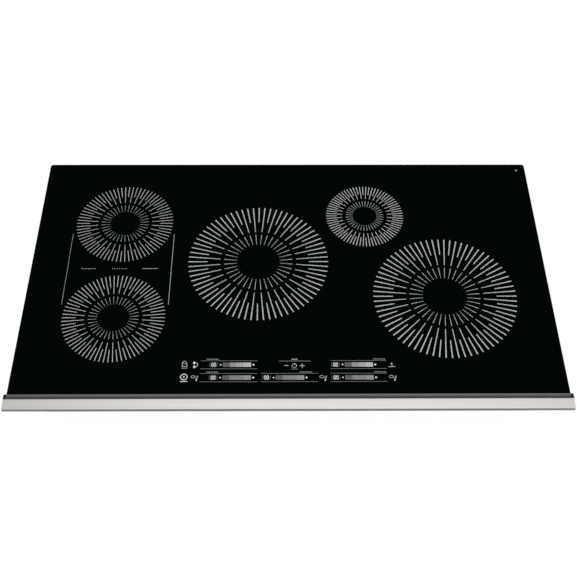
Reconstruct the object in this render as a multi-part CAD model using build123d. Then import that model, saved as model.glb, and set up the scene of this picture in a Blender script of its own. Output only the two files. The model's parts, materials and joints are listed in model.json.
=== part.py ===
from build123d import *
from math import asin, atan2, cos, degrees, radians, sin, sqrt, tan
import os

# Built-in induction cooktop, in millimetres. The origin lies under the middle of the
# burner box, +Z is up and -Y is the cook's side.

# Cooking zones: x from the middle, y from the front edge of the glass, printed ring radius
left_column_x = 302.0
left_front_y = 148.5
left_rear_y = 357.5
left_zone_radius = 89.0
center_zone_x = 54.0
center_zone_y = 268.5
large_zone_radius = 126.0
right_rear_x = 143.0
right_rear_y = 375.0
small_zone_radius = 72.0
right_front_x = 274.5
right_front_y = 192.5

# Glass and the border it leaves round the zones
overall_height = 105.0
glass_step = 0.1
glass_thickness = 4.0
glass_corner_radius = 5.0
glass_bevel = 0.8
zone_side_border = 24.5
zone_rear_border = 43.0
glass_side_overhang = 35.5
glass_rear_overhang = 15.0
glass_front_overhang = 21.0
glass_rise = 11.5

# Glass frame, its adhesive bead and the seal on the worktop
adhesive_thickness = 1.5
adhesive_width = 8.0
adhesive_inset = 12.0
frame_sheet = 1.5
frame_inset = 3.0
frame_land = 8.0
frame_tab_width = 36.0
frame_tab_height = 16.0
frame_tab_clearance = 0.2
side_tab_spacing = 330.0
rear_tab_spacing = 560.0
seal_width = 10.0

# Front trim
trim_depth = 26.5
trim_end_width = 4.5
trim_ledge = 8.0
trim_drop = 4.0
trim_sheet = 1.2
trim_bend_radius = 1.6
trim_hook = 6.0
trim_hem = 7.0
trim_floor_gap = 0.5
trim_fit = 0.2
ledge_step = 0.6
ledge_sag = 0.5
glass_gap = 0.4
carrier_foot = 2.0
carrier_foot_reach = 14.0

# Burner box
pan_sheet = 1.0
pan_corner_radius = 6.0
pan_floor_bevel = 3.0
recess_width = 70.0
recess_depth = 36.0
recess_height = 48.0
vent_width = 4.0
vent_height = 28.0
vent_pitch = 9.0
vent_count = 9
vent_sill = 12.0
grille_slot = 5.0
grille_pitch = 9.0
floor_rib_width = 16.0
floor_rib_height = 2.5
floor_rib_spacing = 200.0
floor_rib_margin = 18.0
floor_rib_corner = 3.5

# Hold-down brackets and clamp screws
worktop_thickness = 38.0
clamp_screw_radius = 3.0
clamp_screw_clearance = 0.08
clamp_screw_side = 22.0
clamp_travel_up = 15.0
clamp_gap = 17.0
clamp_head_flats = 10.0
clamp_head_height = 4.0
clamp_spare_thread = 0.5
bracket_sheet = 2.5
bracket_bend_radius = 4.0
bracket_corner_cut = 7.0
bracket_width = 60.0
bracket_leg = 38.0
bracket_back = 40.0
weld_nut_flats = 12.0
weld_nut_height = 5.0

# Coils
coil_glass_gap = 0.3
mica_thickness = 1.0
mica_margin = 3.0
winding_margin = 9.0
winding_thickness = 5.5
winding_inner_radius = 26.0
winding_sides = 36
winding_clearance = 0.4
ferrite_thickness = 5.0
ferrite_width = 11.0
ferrite_margin = 4.0
arm_count = 8
arm_thickness = 3.0
arm_width = 15.0
lip_thickness = 2.4
hub_floor = 2.0
sensor_radius = 6.0
sensor_sides = 8
sensor_clearance = 0.3

# Springs and sheet supports under the coils
spring_height = 14.0
spring_sheet = 0.6
spring_width = 8.0
spring_foot = 7.0
spring_top = 10.0
spring_run = 9.0
spring_inset = 14.0
spring_angles = (90.0, 225.0, 315.0)
support_sheet = 1.5
support_foot = 12.0
support_gap = 6.0
support_wall_gap = 1.0
wire_hole = 24.0
support_window_sill = 8.0
support_window_height = 34.0
support_window_margin = 30.0

# Touch controls: key and slider centres by row, x from the middle
control_row_lower_y = 30.0
control_row_upper_y = 54.5
keys_lower = (-173.5, -156.0, 56.0, 171.5)
keys_upper = (-173.5, -155.5, -4.5, 9.0, 22.0, 171.5)
sliders_lower = (-86.0, 2.0, 116.5)
sliders_upper = (-86.0, 116.5)
display_offset = 39.0
key_width = 9.0
slider_length = 46.0
touch_pad_height = 6.0
display_width = 12.0
display_depth = 10.0
display_height = 5.0
ui_width = 384.0
ui_depth = 43.0
ui_wall_gap = 1.5
ui_wall = 2.0
circuit_board_thickness = 1.6

# Power modules
tray_width = 290.0
tray_margin = 12.0
tray_floor = 2.0
tray_wall = 2.0
tray_wall_height = 14.0
tray_foot_gap = 3.0
post_width = 8.0
post_height = 6.0
board_margin = 5.0
heat_sink_length = 200.0
heat_sink_height = 34.0
heat_sink_base = 6.0
fin_count = 12
fin_thickness = 1.6
heat_sink_gap = 1.0
capacitor_width = 18.0
capacitor_depth = 42.0
capacitor_height = 30.0
capacitor_pitch = 26.0
capacitor_count = 3
capacitor_edge_gap = 10.0

# Blowers
fan_side = 32.0
fan_rear_gap = 6.0
inlet_radius = 34.0
rotor_radius = 42.0
rotor_lift = 3.0
rotor_height = 22.0
rotor_plate = 1.6
blade_count = 16
blade_inner_radius = 29.0
blade_thickness = 1.2
blade_sweep = 22.0
rotor_hub_radius = 17.0
rotor_hub_height = 15.0
tongue_clearance = 5.0
scroll_step = 6.0
scroll_quarters = 3
quarter_angle = 90.0
scroll_outlet = 25.0
cover_wall = 1.8
stator_radius = 15.0
stator_sides = 12
stator_height = 7.0
stator_gap = 1.0
shaft_radius = 2.0
shaft_clearance = 0.05

# Mains filter and supply connection
filter_width = 130.0
filter_depth = 190.0
filter_tab = 12.0
filter_tab_height = 6.0
choke_width = 38.0
choke_height = 32.0
choke_spacing = 90.0
terminal_width = 30.0
terminal_depth = 30.0
terminal_height = 20.0
terminal_wall_gap = 4.0
terminal_poles = 3
pole_width = 6.0
pole_depth = 10.0
conduit_hole_radius = 11.2
conduit_neck_clearance = 0.2
conduit_neck_reach = 10.0
conduit_bore_radius = 8.0
conduit_body_flats = 27.0
conduit_socket_radius = 10.4
conduit_socket_depth = 18.0
conduit_body_length = 26.0
conduit_edge_gap = 18.0

# Zones and the plan that follows from them
zones = {
    "left_rear": (-left_column_x, left_rear_y, left_zone_radius),
    "left_front": (-left_column_x, left_front_y, left_zone_radius),
    "center": (-center_zone_x, center_zone_y, large_zone_radius),
    "right_rear": (right_rear_x, right_rear_y, small_zone_radius),
    "right_front": (right_front_x, right_front_y, large_zone_radius),
}
zone_side_reach = max(abs(x) + radius for x, y, radius in zones.values())
zone_rear_reach = max(y + radius for x, y, radius in zones.values())
pan_half = zone_side_reach + zone_side_border
glass_half = pan_half + glass_side_overhang
trim_half = glass_half + trim_end_width
glass_depth = zone_rear_reach + zone_rear_border + glass_rear_overhang
front_y = -(trim_depth + glass_depth) / 2
glass_front_y = front_y + trim_depth
glass_back_y = glass_front_y + glass_depth
pan_front_y = glass_front_y + glass_front_overhang
pan_back_y = glass_back_y - glass_rear_overhang
pan_inner_half = pan_half - pan_sheet
pan_inner_front = pan_front_y + pan_sheet
pan_inner_back = pan_back_y - pan_sheet
recess_front = pan_back_y - recess_depth
recess_side = pan_half - recess_width

# Heights
glass_top = overall_height - glass_step
glass_underside = glass_top - glass_thickness
frame_top = glass_underside - adhesive_thickness
frame_underside = frame_top - frame_sheet
worktop_plane = overall_height - glass_rise
pan_floor_top = pan_sheet
mica_top = glass_underside - coil_glass_gap
winding_top = mica_top - mica_thickness
winding_bottom = winding_top - winding_thickness
arm_top = winding_bottom - ferrite_thickness
arm_bottom = arm_top - arm_thickness
support_top = arm_bottom - spring_height
ui_board_top = mica_top - touch_pad_height
ui_board_bottom = ui_board_top - circuit_board_thickness
floor_rib_top = pan_floor_top + floor_rib_height
tray_floor_top = floor_rib_top + tray_floor
power_board_bottom = tray_floor_top + post_height
power_board_top = power_board_bottom + circuit_board_thickness

# Rounding keeps the strip's top edge this far under the sharp corner of its bend
trim_fall_angle = degrees(atan2(trim_drop, trim_depth - trim_ledge))
trim_crown = trim_bend_radius * (tan(radians((quarter_angle + trim_fall_angle) / 2)) - 1)

# Sheet supports stand between the front wall and the supply recess
support_front = pan_inner_front + pan_floor_bevel + support_wall_gap
support_rear = recess_front - pan_sheet - support_wall_gap
tray_front = support_front + support_foot + tray_foot_gap
tray_back = support_rear - support_foot - tray_foot_gap

# Blower scroll and the two power modules
scroll_start_radius = rotor_radius + tongue_clearance + cover_wall
scroll_side_reach = scroll_start_radius + scroll_quarters * scroll_step
scroll_rear_reach = scroll_start_radius + scroll_step
scroll_outlet_y = -(scroll_start_radius + scroll_outlet)
fan_y = tray_back - tray_wall - fan_rear_gap - scroll_rear_reach
rotor_bottom = tray_floor_top + rotor_lift
rotor_top = rotor_bottom + rotor_height
cover_ceiling = rotor_top + stator_gap + stator_height
cover_top = cover_ceiling + cover_wall
module_x = {
    "left": -(pan_inner_half - tray_margin - tray_width / 2),
    "right": recess_side - pan_sheet - tray_margin - tray_width / 2,
}
fans = {side: (x + fan_side, fan_y) for side, x in module_x.items()}

# Hold-down parts
worktop_underside = worktop_plane - worktop_thickness
bracket_leg_top = worktop_underside - clamp_gap
bracket_leg_bottom = bracket_leg_top - bracket_sheet
weld_nut_bottom = bracket_leg_bottom - weld_nut_height
clamp_screw_x = pan_half + clamp_screw_side
clamp_y = (pan_front_y + pan_back_y) / 2

# Supply connector in the rear right corner
conduit_x = pan_half - conduit_edge_gap
conduit_y = pan_back_y - conduit_edge_gap
recess_roof_top = recess_height + pan_sheet


def block(x0, x1, y0, y1, z0, z1):
    """Box between two corners."""
    centre = Pos((x0 + x1) / 2, (y0 + y1) / 2, (z0 + z1) / 2)
    return centre * Box(x1 - x0, y1 - y0, z1 - z0)


def column(x, y, radius, z0, z1):
    """Upright cylinder between two heights."""
    return Pos(x, y, (z0 + z1) / 2) * Cylinder(radius, z1 - z0)


def hex_column(x, y, flats, z0, z1):
    """Upright hexagon, given across its flats."""
    outline = RegularPolygon(flats / 2, 6, major_radius=False)
    return extrude(Pos(x, y, z0) * outline, z1 - z0)


def bent_sheet(points, bend_radius, sheet, side):
    """Cross-section of a sheet that follows the points, with rounded bends."""
    path = FilletPolyline(*points, radius=bend_radius)
    return make_face(offset(path, sheet, side=side))


def along_x(profile, x0, x1):
    """Extrusion of a (y, z) cross-section from x0 to x1."""
    return extrude(Plane.YZ.offset(x0) * profile, x1 - x0)


def zone_place(zone):
    """Centre of a zone in the plan and the outer radius of its winding."""
    x, y, radius = zones[zone]
    return x, glass_front_y + y, radius - winding_margin


def make_glass_panel():
    glass = block(-glass_half, glass_half, glass_front_y, glass_back_y, glass_underside, glass_top)
    rear_corners = glass.edges().filter_by(Axis.Z).sort_by(Axis.Y)[-2:]
    glass = fillet(rear_corners, glass_corner_radius)
    top_edges = glass.faces().sort_by(Axis.Z)[-1].edges()
    return chamfer(top_edges.sort_by(Axis.Y)[1:], glass_bevel)


def make_glass_adhesive():
    x = glass_half - adhesive_inset
    y0 = glass_front_y + adhesive_inset - adhesive_width
    y1 = glass_back_y - adhesive_inset + adhesive_width
    bead = block(-x, x, y0, y1, frame_top, glass_underside)
    inner_x = x - adhesive_width
    inner_y0 = y0 + adhesive_width
    inner_y1 = y1 - adhesive_width
    return bead - block(-inner_x, inner_x, inner_y0, inner_y1, frame_top, glass_underside)


def side_tab_rows():
    """Y places of the frame's tabs along each side wall."""
    return (clamp_y - side_tab_spacing / 2, clamp_y + side_tab_spacing / 2)


def rear_tab_columns():
    """X places of the frame's tabs along the rear wall."""
    return (-rear_tab_spacing / 2, rear_tab_spacing / 2)


def make_glass_frame():
    x = glass_half - frame_inset
    y0 = glass_front_y + frame_inset
    y1 = glass_back_y - frame_inset
    opening_x = pan_inner_half - frame_land
    opening_y = pan_inner_back - frame_land
    frame = block(-x, x, y0, y1, frame_underside, frame_top)
    frame -= block(-opening_x, opening_x, pan_inner_front, opening_y, frame_underside, frame_top)
    tab_bottom = frame_underside - frame_tab_height
    tab_x = pan_inner_half - frame_tab_clearance
    tab_y = pan_inner_back - frame_tab_clearance
    half = frame_tab_width / 2
    for y in side_tab_rows():
        frame += block(tab_x - frame_sheet, tab_x, y - half, y + half, tab_bottom, frame_top)
        frame += block(-tab_x, frame_sheet - tab_x, y - half, y + half, tab_bottom, frame_top)
    for column_x in rear_tab_columns():
        frame += block(column_x - half, column_x + half, tab_y - frame_sheet, tab_y, tab_bottom, frame_top)
    return frame


def make_counter_seal():
    x = glass_half - frame_inset
    foot_y = glass_front_y + carrier_foot_reach
    rear_y = glass_back_y - frame_inset
    side_y0 = foot_y + trim_fit
    side_y1 = rear_y - seal_width
    front_top = frame_underside - carrier_foot
    left = block(-x, seal_width - x, side_y0, side_y1, worktop_plane, frame_underside)
    right = block(x - seal_width, x, side_y0, side_y1, worktop_plane, frame_underside)
    rear = block(-x, x, side_y1, rear_y, worktop_plane, frame_underside)
    front = block(-x, x, foot_y - seal_width, foot_y, worktop_plane, front_top)
    return Compound([left, right, rear, front])


def trim_slope_z(y):
    """Height of the strip's sloped outer face, which falls towards the cook."""
    share = (y - front_y) / (trim_depth - trim_ledge)
    return overall_height + trim_crown - trim_drop * (1 - share)


def make_trim_strip():
    ledge_y = glass_front_y - trim_ledge
    lip_bottom = worktop_plane + trim_floor_gap
    section = bent_sheet(
        [
            (ledge_y, overall_height - trim_hook),
            (ledge_y, trim_slope_z(ledge_y)),
            (front_y, trim_slope_z(front_y)),
            (front_y, lip_bottom),
            (front_y + trim_hem, lip_bottom),
        ],
        trim_bend_radius,
        trim_sheet,
        Side.LEFT,
    )
    return along_x(section, -trim_half, trim_half)


def carrier_section(ledge_top, foot_reach):
    """Moulding that fills the strip from behind, with a hollow ledge and a foot under the frame."""
    ledge_y = glass_front_y - trim_ledge
    ledge_front = ledge_y + trim_fit
    hook_y = ledge_y - trim_sheet - trim_fit
    front = front_y + trim_sheet + trim_fit
    skin = trim_sheet + 2 * trim_fit
    hook_bottom = overall_height - trim_hook - trim_fit
    rear = glass_front_y - glass_gap
    bottom = frame_underside - carrier_foot
    hollow = ThreePointArc(
        (rear, ledge_top),
        ((rear + ledge_front) / 2, ledge_top - ledge_sag),
        (ledge_front, ledge_top),
    )
    body = Polyline(
        (ledge_front, ledge_top),
        (ledge_front, hook_bottom),
        (hook_y, hook_bottom),
        (hook_y, trim_slope_z(hook_y) - skin),
        (front + trim_bend_radius, trim_slope_z(front + trim_bend_radius) - skin),
        (front, trim_slope_z(front) - skin - trim_bend_radius),
        (front, bottom),
        (glass_front_y + foot_reach, bottom),
        (glass_front_y + foot_reach, frame_underside),
        (rear, frame_underside),
        (rear, ledge_top),
    )
    return make_face([hollow, body])


def make_trim_carrier():
    section = carrier_section(overall_height - ledge_step, carrier_foot_reach)
    return along_x(section, -glass_half, glass_half)


def make_trim_end_caps():
    section = carrier_section(overall_height - ledge_step / 2, 0)
    right = along_x(section, glass_half, trim_half)
    left = along_x(section, -trim_half, -glass_half)
    return Compound([left, right])


def box_form(inset, top):
    """Outside of the burner box, or its inside when inset by the sheet."""
    half = pan_half - inset
    back = pan_back_y - inset
    form = block(-half, half, pan_front_y + inset, back, inset, top)
    uprights = form.edges().filter_by(Axis.Z)
    form = fillet(uprights, pan_corner_radius - inset)
    form = chamfer(form.faces().sort_by(Axis.Z)[0].edges(), pan_floor_bevel)
    recess_half = recess_side - inset
    return form - block(recess_half, pan_half, recess_front - inset, pan_back_y, 0, recess_height + inset)


def make_burner_box():
    box = box_form(0, frame_underside) - box_form(pan_sheet, frame_underside)
    cuts = [column(conduit_x, conduit_y, conduit_hole_radius, recess_height, recess_roof_top)]
    for fan_x, fan_centre_y in fans.values():
        cuts += intake_slots(fan_x, fan_centre_y)
        cuts += outlet_slots(fan_x)
    return box - cuts + floor_ribs(0) - floor_ribs(pan_sheet) + filter_tabs()


def intake_slots(fan_x, fan_centre_y):
    """Floor slots under a blower, their ends on the inlet's circle."""
    rows = int((inlet_radius - grille_slot) // grille_pitch)
    slots = []
    for row in range(-rows, rows + 1):
        edge = abs(row) * grille_pitch + grille_slot / 2
        half = sqrt(inlet_radius**2 - edge**2)
        y = fan_centre_y + row * grille_pitch
        slots.append(
            block(fan_x - half, fan_x + half, y - grille_slot / 2, y + grille_slot / 2, 0, pan_floor_top)
        )
    return slots


def outlet_slots(fan_x):
    """Upright slots in the front wall, ahead of a heat sink, and the same in the rear wall."""
    middle = fan_x - scroll_side_reach / 2
    start = middle - vent_pitch * (vent_count - 1) / 2
    vent_top = vent_sill + vent_height
    slots = []
    for index in range(vent_count):
        x0 = start + index * vent_pitch - vent_width / 2
        x1 = x0 + vent_width
        slots.append(block(x0, x1, pan_front_y, pan_inner_front, vent_sill, vent_top))
        slots.append(block(x0, x1, pan_inner_back, pan_back_y, vent_sill, vent_top))
    return slots


def floor_ribs(inset):
    """Ribs pressed up from the floor to carry the module trays, or their hollows when inset."""
    length = tray_back - tray_front - 2 * (floor_rib_margin + inset)
    plan = Rectangle(floor_rib_width - 2 * inset, length)
    plan = chamfer(plan.vertices(), floor_rib_corner)
    y = (tray_front + tray_back) / 2
    ribs = []
    for tray_x in module_x.values():
        for x in (tray_x - floor_rib_spacing / 2, tray_x + floor_rib_spacing / 2):
            ribs.append(extrude(Pos(x, y, 0) * plan, floor_rib_top - inset))
    return ribs


def filter_centre():
    """Middle of the space between the two power modules."""
    gap_left = module_x["left"] + tray_width / 2
    gap_right = module_x["right"] - tray_width / 2
    return (gap_left + gap_right) / 2, (tray_front + tray_back) / 2


def filter_tabs():
    """Raised tabs of the box floor that carry the filter board."""
    x, y = filter_centre()
    reach_x = (filter_width - filter_tab) / 2
    reach_y = (filter_depth - filter_tab) / 2
    half = filter_tab / 2
    tabs = []
    for tab_x in (x - reach_x, x + reach_x):
        for tab_y in (y - reach_y, y + reach_y):
            tabs.append(
                block(
                    tab_x - half,
                    tab_x + half,
                    tab_y - half,
                    tab_y + half,
                    0,
                    pan_floor_top + filter_tab_height,
                )
            )
    return tabs


def make_hold_down_bracket(side):
    path = [
        (pan_half, bracket_leg_bottom + bracket_back),
        (pan_half, bracket_leg_bottom),
        (pan_half + bracket_leg, bracket_leg_bottom),
    ]
    section = bent_sheet(path, bracket_bend_radius, bracket_sheet, Side.LEFT)
    plane = Plane((0, clamp_y + bracket_width / 2, 0), x_dir=(1, 0, 0), z_dir=(0, -1, 0))
    bracket = extrude(plane * section, bracket_width)
    leg_corners = bracket.edges().filter_by(Axis.Z).sort_by(Axis.X)[-2:]
    back_corners = bracket.edges().filter_by(Axis.X).sort_by(Axis.Z)[-2:]
    bracket = chamfer(leg_corners + back_corners, bracket_corner_cut)
    bracket += hex_column(clamp_screw_x, clamp_y, weld_nut_flats, weld_nut_bottom, bracket_leg_bottom)
    hole_radius = clamp_screw_radius + clamp_screw_clearance
    bracket -= column(clamp_screw_x, clamp_y, hole_radius, weld_nut_bottom, bracket_leg_top)
    return bracket if side == "right" else mirror(bracket, Plane.YZ)


def make_clamp_screw(side):
    x = clamp_screw_x if side == "right" else -clamp_screw_x
    head_top = weld_nut_bottom - clamp_travel_up - clamp_spare_thread
    screw = column(x, clamp_y, clamp_screw_radius, head_top, worktop_underside)
    return screw + hex_column(x, clamp_y, clamp_head_flats, head_top - clamp_head_height, head_top)


def arm_places(x, y):
    """Places round a coil, each turned so that its own x runs outwards along one arm."""
    return [Pos(x, y, 0) * Rot(0, 0, index * 360 / arm_count) for index in range(arm_count)]


def sensor_column(x, y, clearance, z0, z1):
    """Eight-sided silicone holder of a temperature sensor, or its well with a clearance."""
    outline = RegularPolygon(sensor_radius + clearance, sensor_sides, major_radius=False)
    return extrude(Pos(x, y, z0) * outline, z1 - z0)


def make_coil_carrier(zone):
    x, y, winding_radius = zone_place(zone)
    hub_radius = winding_inner_radius - winding_clearance
    lip_inner = winding_radius + winding_clearance
    half = arm_width / 2
    arm = block(0, lip_inner + lip_thickness, -half, half, arm_bottom, arm_top)
    lip_top = winding_top - winding_clearance
    lip = block(lip_inner, lip_inner + lip_thickness, -half, half, arm_bottom, lip_top)
    hub = RegularPolygon(hub_radius, arm_count)
    carrier = extrude(Pos(x, y, arm_bottom) * hub, lip_top - arm_bottom)
    carrier += [place * piece for place in arm_places(x, y) for piece in (arm, lip)]
    return carrier - sensor_column(x, y, sensor_clearance, arm_bottom + hub_floor, winding_top)


def make_coil_winding(zone):
    x, y, winding_radius = zone_place(zone)
    ring = RegularPolygon(winding_radius, winding_sides)
    ring -= RegularPolygon(winding_inner_radius, winding_sides // 2, major_radius=False)
    return extrude(Pos(x, y, winding_bottom) * ring, winding_thickness)


def make_ferrite_bars(zone):
    x, y, winding_radius = zone_place(zone)
    half = ferrite_width / 2
    bar = block(winding_inner_radius, winding_radius - ferrite_margin, -half, half, arm_top, winding_bottom)
    return Compound([place * bar for place in arm_places(x, y)])


def make_insulation_sheet(zone):
    x, y, winding_radius = zone_place(zone)
    outline = RegularPolygon(winding_radius + mica_margin, 2 * arm_count, major_radius=False)
    sheet = extrude(Pos(x, y, winding_top) * outline, mica_thickness)
    return sheet - sensor_column(x, y, winding_clearance, winding_top, mica_top)


def make_coil_sensors():
    sensors = []
    for zone in zones:
        x, y, winding_radius = zone_place(zone)
        sensors.append(sensor_column(x, y, 0, arm_bottom + hub_floor, mica_top))
    return Compound(sensors)


def make_coil_springs():
    crown = spring_top / 2
    shoulder = crown + spring_run
    half_section = [
        (shoulder + spring_foot, support_top),
        (shoulder, support_top),
        (crown, arm_bottom - spring_sheet),
    ]
    path = half_section + [(-across, z) for across, z in reversed(half_section)]
    section = make_face(offset(Polyline(*path), spring_sheet, side=Side.RIGHT, kind=Kind.INTERSECTION))
    leaf = extrude(Plane.YZ.offset(-spring_width / 2) * section, spring_width)
    springs = []
    for zone in zones:
        x, y, winding_radius = zone_place(zone)
        for angle in spring_angles:
            place = Pos(x, y, 0) * Rot(0, 0, angle) * Pos(winding_radius - spring_inset, 0, 0)
            springs.append(place * leaf)
    return Compound(springs)


def support_bounds():
    """X range of each sheet support, split half-way between neighbouring windings."""
    left_x, left_y, left_radius = zone_place("left_rear")
    center_x, center_y, center_radius = zone_place("center")
    rear_x, rear_y, rear_radius = zone_place("right_rear")
    split_left = (left_x + left_radius + center_x - center_radius) / 2
    split_right = (center_x + center_radius + rear_x - rear_radius) / 2
    outer = pan_inner_half - frame_land
    gap = support_gap / 2
    return {
        "left": (-outer, split_left - gap),
        "center": (split_left + gap, split_right - gap),
        "right": (split_right + gap, outer),
    }


def make_coil_support(side):
    x0, x1 = support_bounds()[side]
    path = Polyline(
        (support_front + support_foot, pan_floor_top),
        (support_front, pan_floor_top),
        (support_front, support_top),
        (support_rear, support_top),
        (support_rear, pan_floor_top),
        (support_rear - support_foot, pan_floor_top),
    )
    section = make_face(offset(path, support_sheet, side=Side.RIGHT, kind=Kind.INTERSECTION))
    support = along_x(section, x0, x1)
    window_bottom = pan_floor_top + support_window_sill
    support -= block(
        x0 + support_window_margin,
        x1 - support_window_margin,
        support_front,
        support_front + support_sheet,
        window_bottom,
        window_bottom + support_window_height,
    )
    half = wire_hole / 2
    for zone in zones:
        x, y, winding_radius = zone_place(zone)
        if x0 < x < x1:
            sheet_bottom = support_top - support_sheet
            support -= block(x - half, x + half, y - half, y + half, sheet_bottom, support_top)
    return support


def ui_rear():
    """Rear face of the control carrier, which stands just behind the front wall."""
    return pan_inner_front + ui_wall_gap + ui_depth


def make_ui_carrier():
    half = ui_width / 2
    y0 = ui_rear() - ui_depth
    carrier = block(-half, half, y0, ui_rear(), support_top, ui_board_bottom)
    carrier -= block(
        ui_wall - half,
        half - ui_wall,
        y0 + ui_wall,
        ui_rear() - ui_wall,
        support_top + ui_wall,
        ui_board_bottom,
    )
    return carrier


def make_ui_board():
    half = ui_width / 2
    return block(-half, half, ui_rear() - ui_depth, ui_rear(), ui_board_bottom, ui_board_top)


def control_rows():
    """Y of each control row with its keys and sliders."""
    lower_y = glass_front_y + control_row_lower_y
    upper_y = glass_front_y + control_row_upper_y
    return [(lower_y, keys_lower, sliders_lower), (upper_y, keys_upper, sliders_upper)]


def make_touch_pads():
    pads = []
    half = key_width / 2
    for y, keys, sliders in control_rows():
        for x in keys:
            pads.append(block(x - half, x + half, y - half, y + half, ui_board_top, mica_top))
        for x in sliders:
            reach = slider_length / 2
            pads.append(block(x - reach, x + reach, y - half, y + half, ui_board_top, mica_top))
    return Compound(pads)


def make_led_displays():
    displays = []
    for y, keys, sliders in control_rows():
        for slider_x in sliders:
            x = slider_x - display_offset
            displays.append(
                block(
                    x - display_width / 2,
                    x + display_width / 2,
                    y - display_depth / 2,
                    y + display_depth / 2,
                    ui_board_top,
                    ui_board_top + display_height,
                )
            )
    return Compound(displays)


def power_board_bounds(side):
    """Corners of a power board, between its tray's front wall and the blower's outlet."""
    half = tray_width / 2 - tray_wall - board_margin
    x = module_x[side]
    return x - half, x + half, tray_front + tray_wall + board_margin, fan_y + scroll_outlet_y


def make_module_tray(side):
    x = module_x[side]
    half = tray_width / 2
    wall_top = tray_floor_top + tray_wall_height
    tray = block(x - half, x + half, tray_front, tray_back, floor_rib_top, wall_top)
    tray -= block(
        x - half + tray_wall,
        x + half - tray_wall,
        tray_front + tray_wall,
        tray_back - tray_wall,
        tray_floor_top,
        wall_top,
    )
    fan_x, fan_centre_y = fans[side]
    duct_left = fan_x - scroll_side_reach
    tray -= block(duct_left, fan_x, tray_front, tray_front + tray_wall, power_board_top, wall_top)
    tray -= column(fan_x, fan_centre_y, inlet_radius, floor_rib_top, tray_floor_top)
    x0, x1, y0, y1 = power_board_bounds(side)
    for post_x in (x0, x1 - post_width):
        for post_y in (y0, y1 - post_width):
            tray += block(
                post_x,
                post_x + post_width,
                post_y,
                post_y + post_width,
                tray_floor_top,
                power_board_bottom,
            )
    return tray


def make_power_board(side):
    x0, x1, y0, y1 = power_board_bounds(side)
    return block(x0, x1, y0, y1, power_board_bottom, power_board_top)


def heat_sink_bounds(side):
    """X range of a heat sink in line with the blower's duct."""
    fan_x = fans[side][0]
    return fan_x - scroll_side_reach + cover_wall, fan_x - cover_wall


def make_heat_sink(side):
    x0, x1 = heat_sink_bounds(side)
    width = x1 - x0
    section = Pos((x0 + x1) / 2, power_board_top + heat_sink_base / 2) * Rectangle(width, heat_sink_base)
    pitch = (width - fin_thickness) / (fin_count - 1)
    fin_height = heat_sink_height - heat_sink_base
    for index in range(fin_count):
        x = x0 + fin_thickness / 2 + index * pitch
        z = power_board_top + heat_sink_base + fin_height / 2
        section += Pos(x, z) * Rectangle(fin_thickness, fin_height)
    rear = power_board_bounds(side)[3] - heat_sink_gap
    plane = Plane((0, rear, 0), x_dir=(1, 0, 0), z_dir=(0, -1, 0))
    return extrude(plane * section, heat_sink_length)


def make_capacitors():
    boxes = []
    for side in module_x:
        x0 = heat_sink_bounds(side)[1] + capacitor_edge_gap
        y0 = power_board_bounds(side)[2] + capacitor_edge_gap
        for index in range(capacitor_count):
            x = x0 + index * capacitor_pitch
            boxes.append(
                block(
                    x,
                    x + capacitor_width,
                    y0,
                    y0 + capacitor_depth,
                    power_board_top,
                    power_board_top + capacitor_height,
                )
            )
    return Compound(boxes)


def scroll_outline(inset):
    """Plan of a blower's scroll about its shaft: growing quarter arcs, then a straight duct."""
    centre = Vector(0, 0)
    radius = scroll_start_radius - inset
    lead = degrees(asin(inset / radius))
    start = -quarter_angle - lead
    sweep = quarter_angle + lead
    arcs = []
    for quarter in range(scroll_quarters):
        arcs.append(CenterArc(centre, radius, start, sweep))
        start = quarter_angle * quarter
        sweep = quarter_angle
        centre -= scroll_step * Vector(cos(radians(start)), sin(radians(start)))
        radius += scroll_step
    outlet_y = scroll_outlet_y - inset
    wall_end = arcs[-1] @ 1
    duct = Polyline(wall_end, (wall_end.X, outlet_y), (-inset, outlet_y), arcs[0] @ 0)
    return make_face([*arcs, duct])


def make_fan_cover(side):
    fan_x, fan_centre_y = fans[side]
    place = Pos(fan_x, fan_centre_y, tray_floor_top)
    cover = extrude(place * scroll_outline(0), cover_top - tray_floor_top)
    return cover - extrude(place * scroll_outline(cover_wall), cover_ceiling - tray_floor_top)


def make_fan_motor(side):
    fan_x, fan_centre_y = fans[side]
    stator_bottom = cover_ceiling - stator_height
    outline = RegularPolygon(stator_radius, stator_sides)
    stator = extrude(Pos(fan_x, fan_centre_y, stator_bottom) * outline, stator_height)
    shaft_end = rotor_top - rotor_hub_height
    return stator + column(fan_x, fan_centre_y, shaft_radius, shaft_end, stator_bottom)


def make_fan_rotor(side):
    fan_x, fan_centre_y = fans[side]
    rotor = column(0, 0, rotor_radius, rotor_top - rotor_plate, rotor_top)
    rotor += column(0, 0, rotor_hub_radius, rotor_top - rotor_hub_height, rotor_top)
    tip_radius = rotor_radius - blade_thickness
    tip_angle = radians(blade_sweep)
    tip = (tip_radius * cos(tip_angle), tip_radius * sin(tip_angle))
    spine = Line((blade_inner_radius, 0), tip)
    blade = extrude(Pos(0, 0, rotor_bottom) * trace(spine, blade_thickness), rotor_height - rotor_plate)
    rotor += [Rot(0, 0, index * 360 / blade_count) * blade for index in range(blade_count)]
    rotor -= column(0, 0, shaft_radius + shaft_clearance, rotor_top - rotor_hub_height, rotor_top)
    return Pos(fan_x, fan_centre_y, 0) * rotor


def make_filter_board():
    x, y = filter_centre()
    z0 = pan_floor_top + filter_tab_height
    return block(
        x - filter_width / 2,
        x + filter_width / 2,
        y - filter_depth / 2,
        y + filter_depth / 2,
        z0,
        z0 + circuit_board_thickness,
    )


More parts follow.
